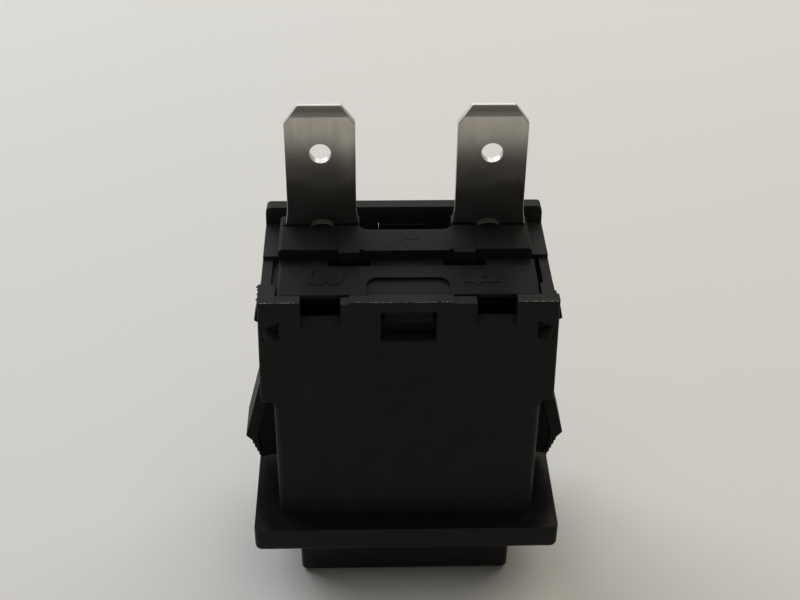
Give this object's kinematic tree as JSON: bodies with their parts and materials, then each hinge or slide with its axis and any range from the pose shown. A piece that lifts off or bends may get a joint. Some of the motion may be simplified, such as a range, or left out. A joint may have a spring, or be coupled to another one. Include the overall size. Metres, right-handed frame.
{
  "type": "pushbutton switch",
  "caption": "Snap-in rectangular pushbutton switch with a bezel flange, serrated side wings and flat blade terminals; its sprung button bridges the terminals when pressed.",
  "frame": {"origin": "middle of the button's face, on the surface that the switch stands on", "axes": "+Z from the button towards the terminals, X along the switch's long side, -Y the front with the long side's latch window; the terminals lie behind the middle"},
  "size_m": [0.031, 0.0206, 0.0476],
  "materials": {
    "housing_black": "fine-grained moulded black polyamide",
    "carrier_black": "moulded black thermoplastic, slightly smoother",
    "button_black": "smooth moulded black",
    "slider_white": "natural acetal",
    "tinned_brass": "tin-plated, satin",
    "copper_strip": "rolled copper alloy",
    "contact_silver": "silver contact alloy, satin",
    "spring_steel": "drawn spring wire"
  },
  "bodies": {
    "case": {"housing": "housing_black", "terminal_base": "carrier_black", "front_insert": "carrier_black", "terminal_1": "tinned_brass", "terminal_2": "tinned_brass", "contact_rivet_fixed_1": "contact_silver", "contact_rivet_fixed_2": "contact_silver", "return_spring_1": "spring_steel", "return_spring_2": "spring_steel"},
    "plunger": {"button": "button_black", "slider": "slider_white", "contact_spring": "spring_steel"},
    "bridge": {"contact_bridge": "copper_strip", "contact_rivet_moving_1": "contact_silver", "contact_rivet_moving_2": "contact_silver"}
  },
  "joints": [
    {"name": "button_press", "type": "slide", "parent": "case", "child": "plunger", "axis": [0, 0, 1], "range_m": [0, 0.0032], "stiffness_N_per_m": 900, "springref_m": -0.003, "deforming": ["return_spring_1", "return_spring_2"]},
    {"name": "bridge_float", "type": "slide", "parent": "plunger", "child": "bridge", "axis": [0, 0, 1], "range_m": [-0.001, 0], "deforming": ["contact_spring"]}
  ],
  "couplings": [
    {"joint": "bridge_float", "follows": "button_press", "ratio": -0.3125}
  ]
}
